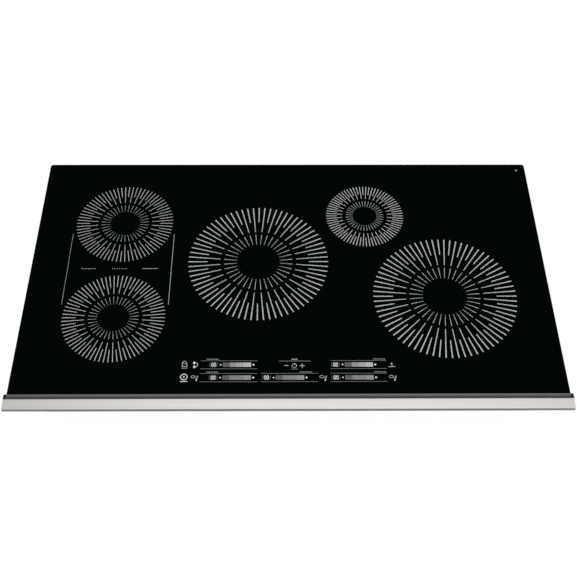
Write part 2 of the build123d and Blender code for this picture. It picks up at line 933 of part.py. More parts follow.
def make_filter_chokes():
    x, y = filter_centre()
    half = choke_width / 2
    z0 = pan_floor_top + filter_tab_height + circuit_board_thickness
    chokes = []
    for choke_y in (y - choke_spacing / 2, y + choke_spacing / 2):
        chokes.append(block(x - half, x + half, choke_y - half, choke_y + half, z0, z0 + choke_height))
    return Compound(chokes)


def make_terminal_block():
    x0 = recess_side + terminal_wall_gap
    y0 = recess_front + terminal_wall_gap
    top = recess_roof_top + terminal_height
    body = block(x0, x0 + terminal_width, y0, y0 + terminal_depth, recess_roof_top, top)
    pitch = terminal_width / terminal_poles
    for pole in range(terminal_poles):
        x = x0 + (pole + 0.5) * pitch
        half = pole_width / 2
        body -= block(x - half, x + half, y0, y0 + pole_depth, top - pole_depth, top)
    return body


def make_conduit_connector():
    neck_radius = conduit_hole_radius - conduit_neck_clearance
    body_bottom = recess_height - conduit_body_length
    neck_top = recess_roof_top + conduit_neck_reach
    connector = hex_column(conduit_x, conduit_y, conduit_body_flats, body_bottom, recess_height)
    connector += column(conduit_x, conduit_y, neck_radius, recess_height, neck_top)
    connector -= column(conduit_x, conduit_y, conduit_bore_radius, body_bottom, neck_top)
    socket_top = body_bottom + conduit_socket_depth
    return connector - column(conduit_x, conduit_y, conduit_socket_radius, body_bottom, socket_top)


sub_parts = {
    "glass_panel": make_glass_panel(),
    "glass_adhesive": make_glass_adhesive(),
    "glass_frame": make_glass_frame(),
    "counter_seal": make_counter_seal(),
    "trim_strip": make_trim_strip(),
    "trim_carrier": make_trim_carrier(),
    "trim_end_caps": make_trim_end_caps(),
    "burner_box": make_burner_box(),
    "coil_sensors": make_coil_sensors(),
    "coil_springs": make_coil_springs(),
    "ui_carrier": make_ui_carrier(),
    "ui_board": make_ui_board(),
    "touch_pads": make_touch_pads(),
    "led_displays": make_led_displays(),
    "capacitors": make_capacitors(),
    "filter_board": make_filter_board(),
    "filter_chokes": make_filter_chokes(),
    "terminal_block": make_terminal_block(),
    "conduit_connector": make_conduit_connector(),
}
for zone in zones:
    sub_parts["coil_carrier_" + zone] = make_coil_carrier(zone)
    sub_parts["coil_winding_" + zone] = make_coil_winding(zone)
    sub_parts["ferrite_bars_" + zone] = make_ferrite_bars(zone)
    sub_parts["insulation_sheet_" + zone] = make_insulation_sheet(zone)
for side in support_bounds():
    sub_parts["coil_support_" + side] = make_coil_support(side)
for side in module_x:
    sub_parts["hold_down_bracket_" + side] = make_hold_down_bracket(side)
    sub_parts["clamp_screw_" + side] = make_clamp_screw(side)
    sub_parts["module_tray_" + side] = make_module_tray(side)
    sub_parts["power_board_" + side] = make_power_board(side)
    sub_parts["heat_sink_" + side] = make_heat_sink(side)
    sub_parts["fan_cover_" + side] = make_fan_cover(side)
    sub_parts["fan_motor_" + side] = make_fan_motor(side)
    sub_parts["fan_rotor_" + side] = make_fan_rotor(side)

os.makedirs("parts", exist_ok=True)
for name, shape in sub_parts.items():
    export_step(shape, os.path.join("parts", name + ".step"))
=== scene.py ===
import json
import math

import bmesh
import bpy
from mathutils import Matrix, Vector


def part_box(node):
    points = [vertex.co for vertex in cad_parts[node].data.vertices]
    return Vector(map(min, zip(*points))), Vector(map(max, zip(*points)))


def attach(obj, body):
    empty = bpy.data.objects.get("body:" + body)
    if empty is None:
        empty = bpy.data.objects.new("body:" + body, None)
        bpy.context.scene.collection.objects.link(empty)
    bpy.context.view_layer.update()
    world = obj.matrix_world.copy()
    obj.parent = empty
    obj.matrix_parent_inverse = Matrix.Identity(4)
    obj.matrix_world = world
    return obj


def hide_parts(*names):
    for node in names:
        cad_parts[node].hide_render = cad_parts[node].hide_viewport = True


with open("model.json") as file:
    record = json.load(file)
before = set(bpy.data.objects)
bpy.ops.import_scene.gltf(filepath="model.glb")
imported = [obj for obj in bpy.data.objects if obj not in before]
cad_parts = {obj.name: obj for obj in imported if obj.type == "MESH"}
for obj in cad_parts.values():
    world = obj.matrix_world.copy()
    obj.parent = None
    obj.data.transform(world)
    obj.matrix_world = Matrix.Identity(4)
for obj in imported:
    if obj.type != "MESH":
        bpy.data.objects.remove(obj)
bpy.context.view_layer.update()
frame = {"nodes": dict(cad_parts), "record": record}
nodes = frame["nodes"]

# The scene is in metres, and a size in millimetres is taken times MM
MM = 0.001
GLASS_LOW, GLASS_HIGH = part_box("glass_panel")
BOX_LOW, BOX_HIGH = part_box("burner_box")
ZONES = ("left_rear", "left_front", "center", "right_rear", "right_front")
zone_centres = {}
for zone in ZONES:
    low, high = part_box("coil_winding_" + zone)
    zone_centres[zone] = (low + high) / 2


# Shared surface effects

def add(tree, kind, links=None, values=None, **settings):
    """New node with its settings, input values and incoming links."""
    node = tree.nodes.new("ShaderNode" + kind)
    for key, value in settings.items():
        setattr(node, key, value)
    for key, value in (values or {}).items():
        node.inputs[key].default_value = value
    for key, source in (links or {}).items():
        tree.links.new(source, node.inputs[key])
    return node


def maths(tree, operation, first, second=None, third=None):
    """Math node whose terms are sockets or plain numbers."""
    node = add(tree, "Math", operation=operation)
    for index, term in enumerate((first, second, third)):
        if isinstance(term, (int, float)):
            node.inputs[index].default_value = term
        elif term is not None:
            tree.links.new(term, node.inputs[index])
    return node.outputs[0]


def effect(name, **inputs):
    """New shader node group with its input sockets, and the place on the surface that its pattern follows."""
    group = bpy.data.node_groups.new(name, "ShaderNodeTree")
    for label, value in inputs.items():
        kind = "NodeSocketFloat" if isinstance(value, float) else "NodeSocketVector"
        socket = group.interface.new_socket(label, in_out="INPUT", socket_type=kind)
        socket.default_value = value
    for label in ("Tone", "Fine"):
        group.interface.new_socket(label, in_out="OUTPUT", socket_type="NodeSocketFloat")
    return group, group.nodes.new("NodeGroupInput").outputs, add(group, "TexCoord").outputs["Object"]


def put_out(group, tone, fine):
    """Effect with its two results: a tone for the colour and roughness, and a fine relief."""
    end = group.nodes.new("NodeGroupOutput")
    group.links.new(tone, end.inputs["Tone"])
    group.links.new(fine, end.inputs["Fine"])
    return group


def weigh(group, broad, fine, fine_share):
    """Sum of a broad and a fine pattern, by their shares."""
    return maths(group, "MULTIPLY_ADD", broad, 1 - fine_share, maths(group, "MULTIPLY", fine, fine_share))


def mottle_effect():
    """Cloudy patches with a fine speckle in them."""
    group, start, place = effect("mottle", Patch=30.0, Speckle=900.0)
    patch = add(group, "TexNoise", {"Vector": place, "Scale": start["Patch"]}, {"Detail": 4.0})
    speckle = add(group, "TexNoise", {"Vector": place, "Scale": start["Speckle"]}, {"Detail": 2.0})
    fine = speckle.outputs["Fac"]
    return put_out(group, weigh(group, patch.outputs["Fac"], fine, fine_share=0.4), fine)


def brushed_effect():
    """Long fine scratches along one direction: the stretch is small along it and large across."""
    group, start, place = effect("brushed", Stretch=(4.0, 900.0, 900.0))
    drawn = add(group, "VectorMath", {0: place, 1: start["Stretch"]}, operation="MULTIPLY").outputs[0]
    broad = add(group, "TexNoise", {"Vector": drawn}, {"Scale": 0.35, "Detail": 3.0}).outputs["Fac"]
    grain = add(group, "TexNoise", {"Vector": drawn}, {"Scale": 1.6, "Detail": 3.0, "Roughness": 0.7})
    fine = grain.outputs["Fac"]
    return put_out(group, weigh(group, broad, fine, fine_share=0.55), fine)


def spangle_effect():
    """Crystal flakes of a zinc coat, each with its own tone."""
    group, start, place = effect("spangle", Flake=130.0)
    bend = add(group, "TexNoise", {"Vector": place}, {"Scale": 60.0, "Detail": 2.0}).outputs["Color"]
    shift = add(group, "VectorMath", {0: bend}, {"Scale": 0.006}, operation="SCALE").outputs[0]
    moved = add(group, "VectorMath", {0: place, 1: shift}, operation="ADD").outputs[0]
    flake = add(group, "TexVoronoi", {"Vector": moved, "Scale": start["Flake"]}).outputs["Color"]
    parts = add(group, "SeparateColor", {"Color": flake})
    return put_out(group, parts.outputs[0], parts.outputs[1])


def turns_effect():
    """Rings of a wound coil about its own centre, with the twist of the strands across each turn, in painted
    shade and highlight.
    """
    strand_count, strand_lay = 160.0, 9.0
    # The tone is painted shade and painted highlight: darker in the grooves between turns and between
    # strands, lighter on their crests, following the relief
    turn_shade_depth, strand_shade_depth, mean_tone = 0.32, 0.18, 0.5
    group, start, place = effect("turns", Centre=(0.0, 0.0, 0.0), Pitch=0.003)
    away = add(group, "VectorMath", {0: place, 1: start["Centre"]}, operation="SUBTRACT").outputs[0]
    flat = add(group, "VectorMath", {0: away}, {1: (1.0, 1.0, 0.0)}, operation="MULTIPLY").outputs[0]
    radius = add(group, "VectorMath", {0: flat}, operation="LENGTH").outputs["Value"]
    axes = add(group, "SeparateXYZ", {0: away})
    angle = maths(group, "ARCTAN2", axes.outputs["Y"], axes.outputs["X"])
    turn = maths(group, "DIVIDE", radius, start["Pitch"])
    wave = maths(group, "SINE", maths(group, "MULTIPLY", turn, 2 * math.pi))
    round_turn = maths(group, "MULTIPLY", angle, strand_count)
    strand = maths(group, "SINE", maths(group, "MULTIPLY_ADD", turn, strand_lay, round_turn))
    shaded_turn = maths(group, "MULTIPLY_ADD", wave, turn_shade_depth, mean_tone)
    return put_out(group, maths(group, "MULTIPLY_ADD", strand, strand_shade_depth, shaded_turn), wave)


def tracks_effect():
    """Copper tracks and pads under the solder mask of a circuit board."""
    pad_size = 0.13
    group, start, place = effect("tracks", Density=160.0)
    spread = {"Vector": place, "Scale": start["Density"]}
    lanes = add(group, "TexBrick", spread, {"Mortar Size": 0.06}, offset=0.37).outputs["Fac"]
    cells = add(group, "TexVoronoi", spread, distance="CHEBYCHEV").outputs["Distance"]
    pads = maths(group, "LESS_THAN", cells, pad_size)
    return put_out(group, maths(group, "MAXIMUM", lanes, pads), pads)


mottle = mottle_effect()
brushed = brushed_effect()
spangle = spangle_effect()
turns = turns_effect()
tracks = tracks_effect()


# Finishes

RELIEF_DEPTH = 0.2 * MM
# Colour sockets of a Mix node, which have the same names as its number sockets
MIX_DARK, MIX_LIGHT, MIX_COLOUR = 6, 7, 2
finishes = {}


def finish(name, surface, settings, dark, light, smooth, rough, bump=0.0, **shader_values):
    """Material that swings between two colours and two roughnesses with a surface effect."""
    material = bpy.data.materials.new(name)
    material.use_nodes = True
    tree = material.node_tree
    shader = tree.nodes["Principled BSDF"]
    source = add(tree, "Group", values=settings, node_tree=surface)
    colour = add(tree, "Mix", {"Factor": source.outputs["Tone"]}, data_type="RGBA")
    colour.inputs[MIX_DARK].default_value = (*dark, 1.0)
    colour.inputs[MIX_LIGHT].default_value = (*light, 1.0)
    tree.links.new(colour.outputs[MIX_COLOUR], shader.inputs["Base Color"])
    grade = add(tree, "MapRange", {"Value": source.outputs["Tone"]}, {"To Min": rough, "To Max": smooth})
    tree.links.new(grade.outputs["Result"], shader.inputs["Roughness"])
    if bump:
        strength = {"Strength": bump, "Distance": RELIEF_DEPTH}
        relief = add(tree, "Bump", {"Height": source.outputs["Fine"]}, strength)
        tree.links.new(relief.outputs["Normal"], shader.inputs["Normal"])
    for key, value in shader_values.items():
        shader.inputs[key.replace("_", " ")].default_value = value
    finishes[name] = material


# Glass and its prints
finish(
    "black_glass", mottle, {"Patch": 9.0, "Speckle": 400.0}, smooth=0.02, rough=0.05,
    dark=(0.0001, 0.0012, 0.001), light=(0.0003, 0.0019, 0.0015), IOR=1.5)
PRINT_TONES = {
    "print_white": 0.8, "print_pale": 0.51, "print_light": 0.4,
    "print_middle": 0.3, "print_dim": 0.235, "print_grey": 0.11,
}
PRINT_TINT = (0.985, 1.0, 0.99)
PRINT_SWING = 0.13
for name, tone in PRINT_TONES.items():
    finish(
        name, mottle, {"Patch": 140.0, "Speckle": 2500.0}, smooth=0.3, rough=0.5, bump=0.15,
        dark=[tone * (1 - PRINT_SWING) * tint for tint in PRINT_TINT],
        light=[tone * (1 + PRINT_SWING) * tint for tint in PRINT_TINT])

# Front trim
finish(
    "brushed_trim", brushed, {"Stretch": (3.0, 700.0, 700.0)}, smooth=0.38, rough=0.54, bump=0.12,
    dark=(0.6, 0.583, 0.566), light=(0.86, 0.844, 0.823), Metallic=1.0)
finish(
    "trim_ledge", brushed, {"Stretch": (6.0, 500.0, 500.0)}, smooth=0.26, rough=0.4, bump=0.05,
    dark=(0.1, 0.105, 0.1), light=(0.16, 0.165, 0.155), Metallic=0.6)
finish(
    "black_plastic", mottle, {"Patch": 60.0, "Speckle": 1600.0}, smooth=0.42, rough=0.62, bump=0.25,
    dark=(0.006, 0.006, 0.0065), light=(0.013, 0.013, 0.0135), Specular_IOR_Level=0.2)

# Frame, box and fasteners
finish(
    "frame_steel", mottle, {"Patch": 40.0, "Speckle": 1200.0}, smooth=0.3, rough=0.5, bump=0.2,
    dark=(0.018, 0.018, 0.019), light=(0.036, 0.036, 0.038))
finish(
    "galvanised_sheet", spangle, {"Flake": 140.0}, smooth=0.28, rough=0.5, bump=0.06,
    dark=(0.46, 0.48, 0.495), light=(0.62, 0.64, 0.65), Metallic=0.75)
finish(
    "bracket_steel", brushed, {"Stretch": (900.0, 30.0, 900.0)}, smooth=0.28, rough=0.48, bump=0.1,
    dark=(0.4, 0.41, 0.42), light=(0.62, 0.63, 0.64), Metallic=0.8)
finish(
    "zinc_screw", mottle, {"Patch": 220.0, "Speckle": 2600.0}, smooth=0.2, rough=0.42, bump=0.1,
    dark=(0.5, 0.5, 0.47), light=(0.72, 0.72, 0.7), Metallic=1.0)
finish(
    "seal_foam", mottle, {"Patch": 300.0, "Speckle": 1400.0}, smooth=0.75, rough=0.95, bump=0.8,
    dark=(0.012, 0.012, 0.012), light=(0.04, 0.04, 0.04))
finish(
    "silicone", mottle, {"Patch": 50.0, "Speckle": 500.0}, smooth=0.4, rough=0.6, bump=0.2,
    dark=(0.08, 0.08, 0.08), light=(0.15, 0.15, 0.15))

# Coils and their mounting
# The dark colour of each winding is the painted shade in the grooves of its turns, and the light one is the
# painted highlight on their crests
for zone in ZONES:
    finish(
        "copper_litz_" + zone, turns, {"Centre": zone_centres[zone], "Pitch": 3.1 * MM},
        dark=(0.22, 0.085, 0.035), light=(0.72, 0.36, 0.19), smooth=0.28, rough=0.5, bump=0.6, Metallic=0.85)
finish(
    "heat_plastic", mottle, {"Patch": 80.0, "Speckle": 1100.0}, smooth=0.45, rough=0.7, bump=0.35,
    dark=(0.07, 0.062, 0.055), light=(0.13, 0.118, 0.105))
finish(
    "ferrite", mottle, {"Patch": 90.0, "Speckle": 1500.0}, smooth=0.4, rough=0.7, bump=0.4,
    dark=(0.05, 0.05, 0.054), light=(0.11, 0.11, 0.115))
finish(
    "mica", mottle, {"Patch": 70.0, "Speckle": 700.0}, smooth=0.35, rough=0.6, bump=0.3,
    dark=(0.42, 0.37, 0.28), light=(0.66, 0.6, 0.5))
finish(
    "spring_steel", brushed, {"Stretch": (500.0, 40.0, 500.0)}, smooth=0.25, rough=0.42, bump=0.1,
    dark=(0.36, 0.36, 0.37), light=(0.6, 0.6, 0.6), Metallic=1.0)
finish(
    "aluminium_sheet", brushed, {"Stretch": (500.0, 12.0, 500.0)}, smooth=0.3, rough=0.5, bump=0.1,
    dark=(0.62, 0.63, 0.64), light=(0.84, 0.85, 0.86), Metallic=1.0)

# Boards, controls and power parts
finish(
    "circuit_board", tracks, {"Density": 150.0}, smooth=0.3, rough=0.45, bump=0.15,
    dark=(0.012, 0.085, 0.035), light=(0.05, 0.22, 0.1))
finish(
    "contact_foam", mottle, {"Patch": 260.0, "Speckle": 1700.0}, smooth=0.7, rough=0.9, bump=0.7,
    dark=(0.03, 0.03, 0.03), light=(0.09, 0.09, 0.09))
finish(
    "display_plastic", mottle, {"Patch": 60.0, "Speckle": 600.0}, smooth=0.12, rough=0.25,
    dark=(0.07, 0.008, 0.008), light=(0.14, 0.025, 0.022))
finish(
    "capacitor_resin", mottle, {"Patch": 60.0, "Speckle": 900.0}, smooth=0.35, rough=0.55, bump=0.2,
    dark=(0.04, 0.055, 0.13), light=(0.075, 0.1, 0.22))
finish(
    "fan_plastic", mottle, {"Patch": 70.0, "Speckle": 1500.0}, smooth=0.4, rough=0.62, bump=0.25,
    dark=(0.016, 0.016, 0.018), light=(0.034, 0.034, 0.036))
finish(
    "terminal_plastic", mottle, {"Patch": 60.0, "Speckle": 900.0}, smooth=0.35, rough=0.55, bump=0.2,
    dark=(0.6, 0.59, 0.54), light=(0.76, 0.75, 0.7))

# Every node takes its slot's finish, and each winding one of its own, with its turns about its centre
for subpart in frame["record"]["subparts"]:
    node = subpart["node"]
    coat = subpart["material_slot"]
    if coat == "copper_litz":
        coat = node.replace("coil_winding", coat)
    nodes[node].data.materials.clear()
    nodes[node].data.materials.append(finishes[coat])


# Mesh pieces

def piece(name, mesh, coat, body="cooktop"):
    """Finished mesh as a named piece on a body."""
    bmesh.ops.recalc_face_normals(mesh, faces=mesh.faces)
    data = bpy.data.meshes.new(name)
    mesh.to_mesh(data)
    mesh.free()
    data.materials.append(finishes[coat])
    thing = bpy.data.objects.new(name, data)
    bpy.context.scene.collection.objects.link(thing)
    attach(thing, body)
    return thing


def wall(mesh, lower, upper):
    """Band of quads between two closed loops of vertices."""
    for index in range(len(lower)):
        following = (index + 1) % len(lower)
        mesh.faces.new((lower[index], lower[following], upper[following], upper[index]))


def solid(mesh, loops):
    """Closed solid through a row of loops."""
    for lower, upper in zip(loops, loops[1:]):
        wall(mesh, lower, upper)
    mesh.faces.new(loops[0])
    mesh.faces.new(loops[-1])


# Shapes of prints, in plan millimetres from the middle of the glass's front edge

PRINT_SINK = 0.03 * MM
PRINT_RISE = 0.04 * MM
PRINT_LEVELS = (GLASS_HIGH.z - PRINT_SINK, GLASS_HIGH.z + PRINT_RISE)


def slab(mesh, outline, hole=None):
    """Thin print with an outline and, where it has one, a hole with as many points."""
    loops = []
    for loop in (outline, hole):
        if loop:
            for level in PRINT_LEVELS:
                loops.append([mesh.verts.new((x * MM, GLASS_LOW.y + y * MM, level)) for x, y in loop])
    if hole:
        low, high, low_hole, high_hole = loops
        for near, far in ((low, high), (low_hole, high_hole), (low, low_hole), (high, high_hole)):
            wall(mesh, near, far)
    else:
        solid(mesh, loops)


def bar(x0, x1, y0, y1):
    """Outline of an upright rectangle."""
    return [(x0, y0), (x1, y0), (x1, y1), (x0, y1)]


def circle(x, y, across, along=None, steps=20):
    """Outline of a circle, or of an ellipse with a second radius."""
    along = across if along is None else along
    angles = [2 * math.pi * step / steps for step in range(steps)]
    return [(x + across * math.cos(angle), y + along * math.sin(angle)) for angle in angles]


def taper(x, y, angle, near, far, near_width, far_width):
    """Outline of a stroke along a spoke about a point, from one distance and width to another."""
    corners = ((near, -near_width), (far, -far_width), (far, far_width), (near, near_width))
    return [
        (x + along * math.cos(angle) - width / 2 * math.sin(angle),
         y + along * math.sin(angle) + width / 2 * math.cos(angle))
        for along, width in corners]


def stroke(x0, y0, x1, y1, pen):
    """Outline of a straight pen stroke."""
    angle = math.atan2(y1 - y0, x1 - x0)
    return taper(x0, y0, angle, 0, math.hypot(x1 - x0, y1 - y0), pen, pen)


def bow(x, y, radius, pen, start, end, steps=14):
    """Outline of a pen stroke along an arc, with angles in degrees."""
    angles = [math.radians(start + (end - start) * step / steps) for step in range(steps + 1)]
    outer, inner = (
        [(x + reach * math.cos(angle), y + reach * math.sin(angle)) for angle in angles]
        for reach in (radius + pen / 2, radius - pen / 2))
    return outer + inner[::-1]


def hoop(mesh, x, y, radius, pen):
    """Circle drawn with a pen."""
    slab(mesh, circle(x, y, radius + pen / 2), circle(x, y, radius - pen / 2))


def rule(mesh, x0, x1, y, pen):
    """Line across the glass, drawn with a pen."""
    slab(mesh, stroke(x0, y, x1, y, pen))


def upright(mesh, x, y0, y1, pen):
    """Line towards the rear of the glass, drawn with a pen."""
    slab(mesh, stroke(x, y0, x, y1, pen))


# Zone prints

# Radius of each zone, and the widths of its inner and its outer dashes at their near and far ends
ZONE_PRINTS = {
    "left_rear": (88.7, (0.27, 0.7), (0.87, 1.25)),
    "left_front": (89.0, (0.29, 0.74), (0.9, 1.34)),
    "center": (125.6, (0.5, 1.1), (1.2, 2.15)),
    "right_rear": (71.8, (0.38, 0.86), (1.1, 1.58)),
    "right_front": (125.7, (0.5, 1.1), (1.2, 2.15)),
}
DASH_COUNT = 72
DASH_GAP = 6.45
# Shares of the radius at which the inner dashes start and end, and at which the short outer ones start
INNER_START, INNER_END, SHORT_START = 0.31, 0.492, 0.725

for zone, (radius, inner_widths, outer_widths) in ZONE_PRINTS.items():
    mesh = bmesh.new()
    x = zone_centres[zone].x / MM
    y = (zone_centres[zone].y - GLASS_LOW.y) / MM
    inner_end = INNER_END * radius
    outer_start = inner_end + DASH_GAP
    short_start = SHORT_START * radius
    short_share = (short_start - outer_start) / (radius - outer_start)
    start_width, end_width = outer_widths
    short_width = start_width + (end_width - start_width) * short_share
    for index in range(DASH_COUNT):
        angle = 2 * math.pi * index / DASH_COUNT
        if index % 2:
            slab(mesh, taper(x, y, angle, INNER_START * radius, inner_end, *inner_widths))
            slab(mesh, taper(x, y, angle, outer_start, radius, *outer_widths))
        else:
            slab(mesh, taper(x, y, angle, short_start, radius, short_width, end_width))
    piece("zone_print_" + zone, mesh, "print_pale")


# Bridge between the left zones, and the ring in the rear corner

# Place, far end and pen of the lines beside the zones, and ends and pen of those between them
BRIDGE_SIDES = ((-394.9, 332.5, 0.5), (-209.3, 331.5, 0.75))
BRIDGE_NEAR_END = 175.75
BRIDGE_RULES = ((-370.0, -344.0, 0.6), (-261.0, -233.8, 0.9))
BRIDGE_RULE_Y = 253.4
BRIDGE_DOTS = 7
BRIDGE_DOT_X, BRIDGE_DOT_Y = -314.3, 253.2
BRIDGE_DOT_PITCH = 4.1
BRIDGE_DOT_RADIUS = 0.72

mesh = bmesh.new()
for x, far_end, pen in BRIDGE_SIDES:
    upright(mesh, x, BRIDGE_NEAR_END, far_end, pen)
for x0, x1, pen in BRIDGE_RULES:
    rule(mesh, x0, x1, BRIDGE_RULE_Y, pen)
for dot in range(BRIDGE_DOTS):
    slab(mesh, circle(BRIDGE_DOT_X + dot * BRIDGE_DOT_PITCH, BRIDGE_DOT_Y, BRIDGE_DOT_RADIUS, steps=10))
piece("bridge_print", mesh, "print_pale")

CORNER_X, CORNER_Y = 443.5, 488.9
CORNER_RADIUS, CORNER_PEN = 1.35, 1.0
mesh = bmesh.new()
hoop(mesh, CORNER_X, CORNER_Y, CORNER_RADIUS, CORNER_PEN)
piece("corner_print", mesh, "print_pale")


# Control strip

# Each row has its middle, its two rule lines and the height of its labels
ROWS = {"upper": (54.5, 62.2, 46.8, 65.1), "lower": (30.0, 37.8, 22.25, 40.5)}
# Each group has its slider's start, the ends of its rule lines, its label's start and its row
GROUPS = (
    (-110.0, -147.0, -52.5, -137.0, "upper"),
    (-110.0, -147.0, -52.5, -137.0, "lower"),
    (-21.9, -46.25, 48.1, 18.75, "lower"),
    (93.0, 69.0, 162.5, 141.5, "upper"),
    (93.0, 69.0, 162.5, 141.5, "lower"),
)
RULE_PEN = 0.46

# Slider: its cells, the tones of its quarters from its low to its high end, and the dot beyond each end
SLIDER_LENGTH = 47.4
SLIDER_HEIGHT = 8.4
SLIDER_TONES = {
    "upper": ("print_grey", "print_middle", "print_light", "print_pale"),
    "lower": ("print_grey", "print_dim", "print_dim", "print_middle"),
}
QUARTER_CELLS = 3
CELL_PITCH = SLIDER_LENGTH / 4 / QUARTER_CELLS
CELL_GAP = 0.3
DOT_GAP = 3.6
LOW_DOT_RADIUS, HIGH_DOT_RADIUS = 1.3, 1.6

# Display of two figures between two upright lines, by their distance ahead of the slider
DIGIT_AHEAD = (19.4, 15.1)
DIGIT_WIDTH, DIGIT_HEIGHT, DIGIT_PEN = 4.0, 8.6, 1.25
DIGIT_GAP = 0.55 * DIGIT_PEN
UPRIGHT_AHEAD = (22.0, 8.6)
UPRIGHT_HEIGHT, UPRIGHT_PEN = 7.6, 0.3

# Labels are rows of short bars
LABEL_PITCH = 2.6
ZONE_LABEL_BARS, ZONE_BAR_WIDTH, ZONE_BAR_HEIGHT = 8, 1.2, 1.8
TIMER_LABEL_BARS, TIMER_BAR_WIDTH, TIMER_BAR_HEIGHT = 4, 1.7, 2.4

lines = bmesh.new()
digits = bmesh.new()
dots = bmesh.new()
labels = bmesh.new()
icons = bmesh.new()
faint_icons = bmesh.new()
bright_icons = bmesh.new()
sliders = {tone: bmesh.new() for tones in SLIDER_TONES.values() for tone in tones}


def digit(x, y):
    """Seven-segment figure, all segments shown, as a display prints it unlit."""
    sides = (x + DIGIT_PEN / 2, x + DIGIT_WIDTH - DIGIT_PEN / 2)
    levels = (y + DIGIT_PEN / 2, y + DIGIT_HEIGHT / 2, y + DIGIT_HEIGHT - DIGIT_PEN / 2)
    for level in levels:
        rule(digits, sides[0] + DIGIT_GAP, sides[1] - DIGIT_GAP, level, DIGIT_PEN)
    for side in sides:
        for low, high in zip(levels, levels[1:]):
            upright(digits, side, low + DIGIT_GAP, high - DIGIT_GAP, DIGIT_PEN)


def label(x, y, count, width, height):
    """Row of short bars."""
    for index in range(count):
        start = x + index * LABEL_PITCH
        slab(labels, bar(start, start + width, y - height / 2, y + height / 2))


for slider_x, line_x0, line_x1, label_x, row in GROUPS:
    middle, line_high, line_low, label_y = ROWS[row]
    for level in (line_high, line_low):
        rule(lines, line_x0, line_x1, level, RULE_PEN)
    for ahead in DIGIT_AHEAD:
        digit(slider_x - ahead, middle - DIGIT_HEIGHT / 2)
    for ahead in UPRIGHT_AHEAD:
        x = slider_x - ahead
        upright(lines, x, middle - UPRIGHT_HEIGHT / 2, middle + UPRIGHT_HEIGHT / 2, UPRIGHT_PEN)
    slab(dots, circle(slider_x - DOT_GAP, middle, LOW_DOT_RADIUS))
    slab(dots, circle(slider_x + SLIDER_LENGTH + DOT_GAP, middle, HIGH_DOT_RADIUS))
    for quarter, tone in enumerate(SLIDER_TONES[row]):
        for count in range(QUARTER_CELLS):
            x = slider_x + CELL_PITCH * (quarter * QUARTER_CELLS + count)
            cell = bar(x, x + CELL_PITCH - CELL_GAP, middle - SLIDER_HEIGHT / 2, middle + SLIDER_HEIGHT / 2)
            slab(sliders[tone], cell)
    label(label_x, label_y, ZONE_LABEL_BARS, ZONE_BAR_WIDTH, ZONE_BAR_HEIGHT)


# Touch symbols

def minus_key(x, y):
    """Minus sign about its middle."""
    reach, pen = 3.5, 1.0
    rule(icons, x - reach, x + reach, y, pen)


def plus_key(x, y):
    """Plus sign whose arms stop short of its upright."""
    inner, left, right, arm_pen = 0.8, 4.1, 4.05, 1.1
    below, above, pen = 4.05, 4.25, 1.0
    upright(icons, x, y - below, y + above, pen)
    rule(icons, x - left, x - inner, y, arm_pen)
    rule(icons, x + inner, x + right, y, arm_pen)


def clock_key(x, y):
    """Clock face with one hand, over a rule."""
    radius, pen = 3.8, 0.8
    rule_left, rule_right, rule_drop, rule_pen = 4.7, 5.1, 6.7, 0.6
    hoop(icons, x, y, radius, pen)
    slab(icons, stroke(x + 0.2, y + 0.5, x + 0.6, y + 3.2, pen))
    rule(faint_icons, x - rule_left, x + rule_right, y - rule_drop, rule_pen)


def lock_key(x, y):
    """Padlock from the lower left corner of its hollow body, over a rule."""
    width, height, pen, top_pen = 8.7, 6.5, 0.9, 0.8
    bow_x, bow_y, bow_radius, bow_pen = x + 4.1, y + 7.7, 3.2, 0.95
    rule_length, rule_drop, rule_pen = 9.0, 2.6, 1.0
    hollow = bar(x + pen, x + width - pen, y + pen, y + height - top_pen)
    slab(icons, bar(x, x + width, y, y + height), hollow)
    slab(icons, bow(bow_x, bow_y, bow_radius, bow_pen, 0, 180))
    for leg_x in (bow_x - bow_radius, bow_x + bow_radius):
        upright(icons, leg_x, y + height, bow_y, bow_pen)
    rule(faint_icons, x, x + rule_length, y - rule_drop, rule_pen)


def dimming_key(x, y):
    """Crescent about its centre, with a lobe at each horn."""
    radius, pen, sweep = 4.5, 1.2, 70
    lobe_across, lobe_along = 1.8, 2.4
    slab(icons, bow(x, y, radius, pen, -sweep, sweep))
    for lobe_x, lobe_y in ((x - 1.2, y + 3.6), (x - 0.8, y - 3.8)):
        slab(bright_icons, circle(lobe_x, lobe_y, lobe_across, lobe_along))


def power_key(x, y):
    """Ring with a stroke in it, over a rule."""
    radius, pen = 5.45, 1.3
    stroke_side, stroke_rise, stroke_pen = 0.6, 1.7, 1.6
    rule_reach, rule_drop, rule_pen = 6.1, 8.6, 1.2
    hoop(bright_icons, x, y, radius, pen)
    slab(bright_icons, stroke(x - stroke_side, y - stroke_rise, x + stroke_side, y + stroke_rise, stroke_pen))
    rule(bright_icons, x - rule_reach, x + rule_reach, y - rule_drop, rule_pen)


def pan_key(x, y):
    """Rim of a pan seen at a slant, with a spoon beside it."""
    rim_x, rim_y = x + 4.7, y + 8.4
    rim_outer, rim_inner = (4.0, 2.7), (3.1, 1.75)
    handle_pen = 1.5
    bowl_across, bowl_along = 1.25, 2.5
    slab(faint_icons, circle(rim_x, rim_y, *rim_outer), circle(rim_x, rim_y, *rim_inner))
    slab(faint_icons, stroke(x + 10.6, y + 5.5, x + 12.6, y + 10.2, handle_pen))
    slab(icons, circle(x + 10.3, y + 2.7, bowl_across, bowl_along))


def stand_key(x, y):
    """Pointer with a round head on a base line."""
    base_reach, base_pen = 5.65, 1.25
    pointer_pen, head_radius = 1.2, 1.5
    rule(faint_icons, x - base_reach, x + base_reach, y, base_pen)
    slab(faint_icons, stroke(x - 0.05, y + 4.125, x + 0.55, y + 0.825, pointer_pen))
    slab(faint_icons, circle(x - 0.25, y + 5.825, head_radius))


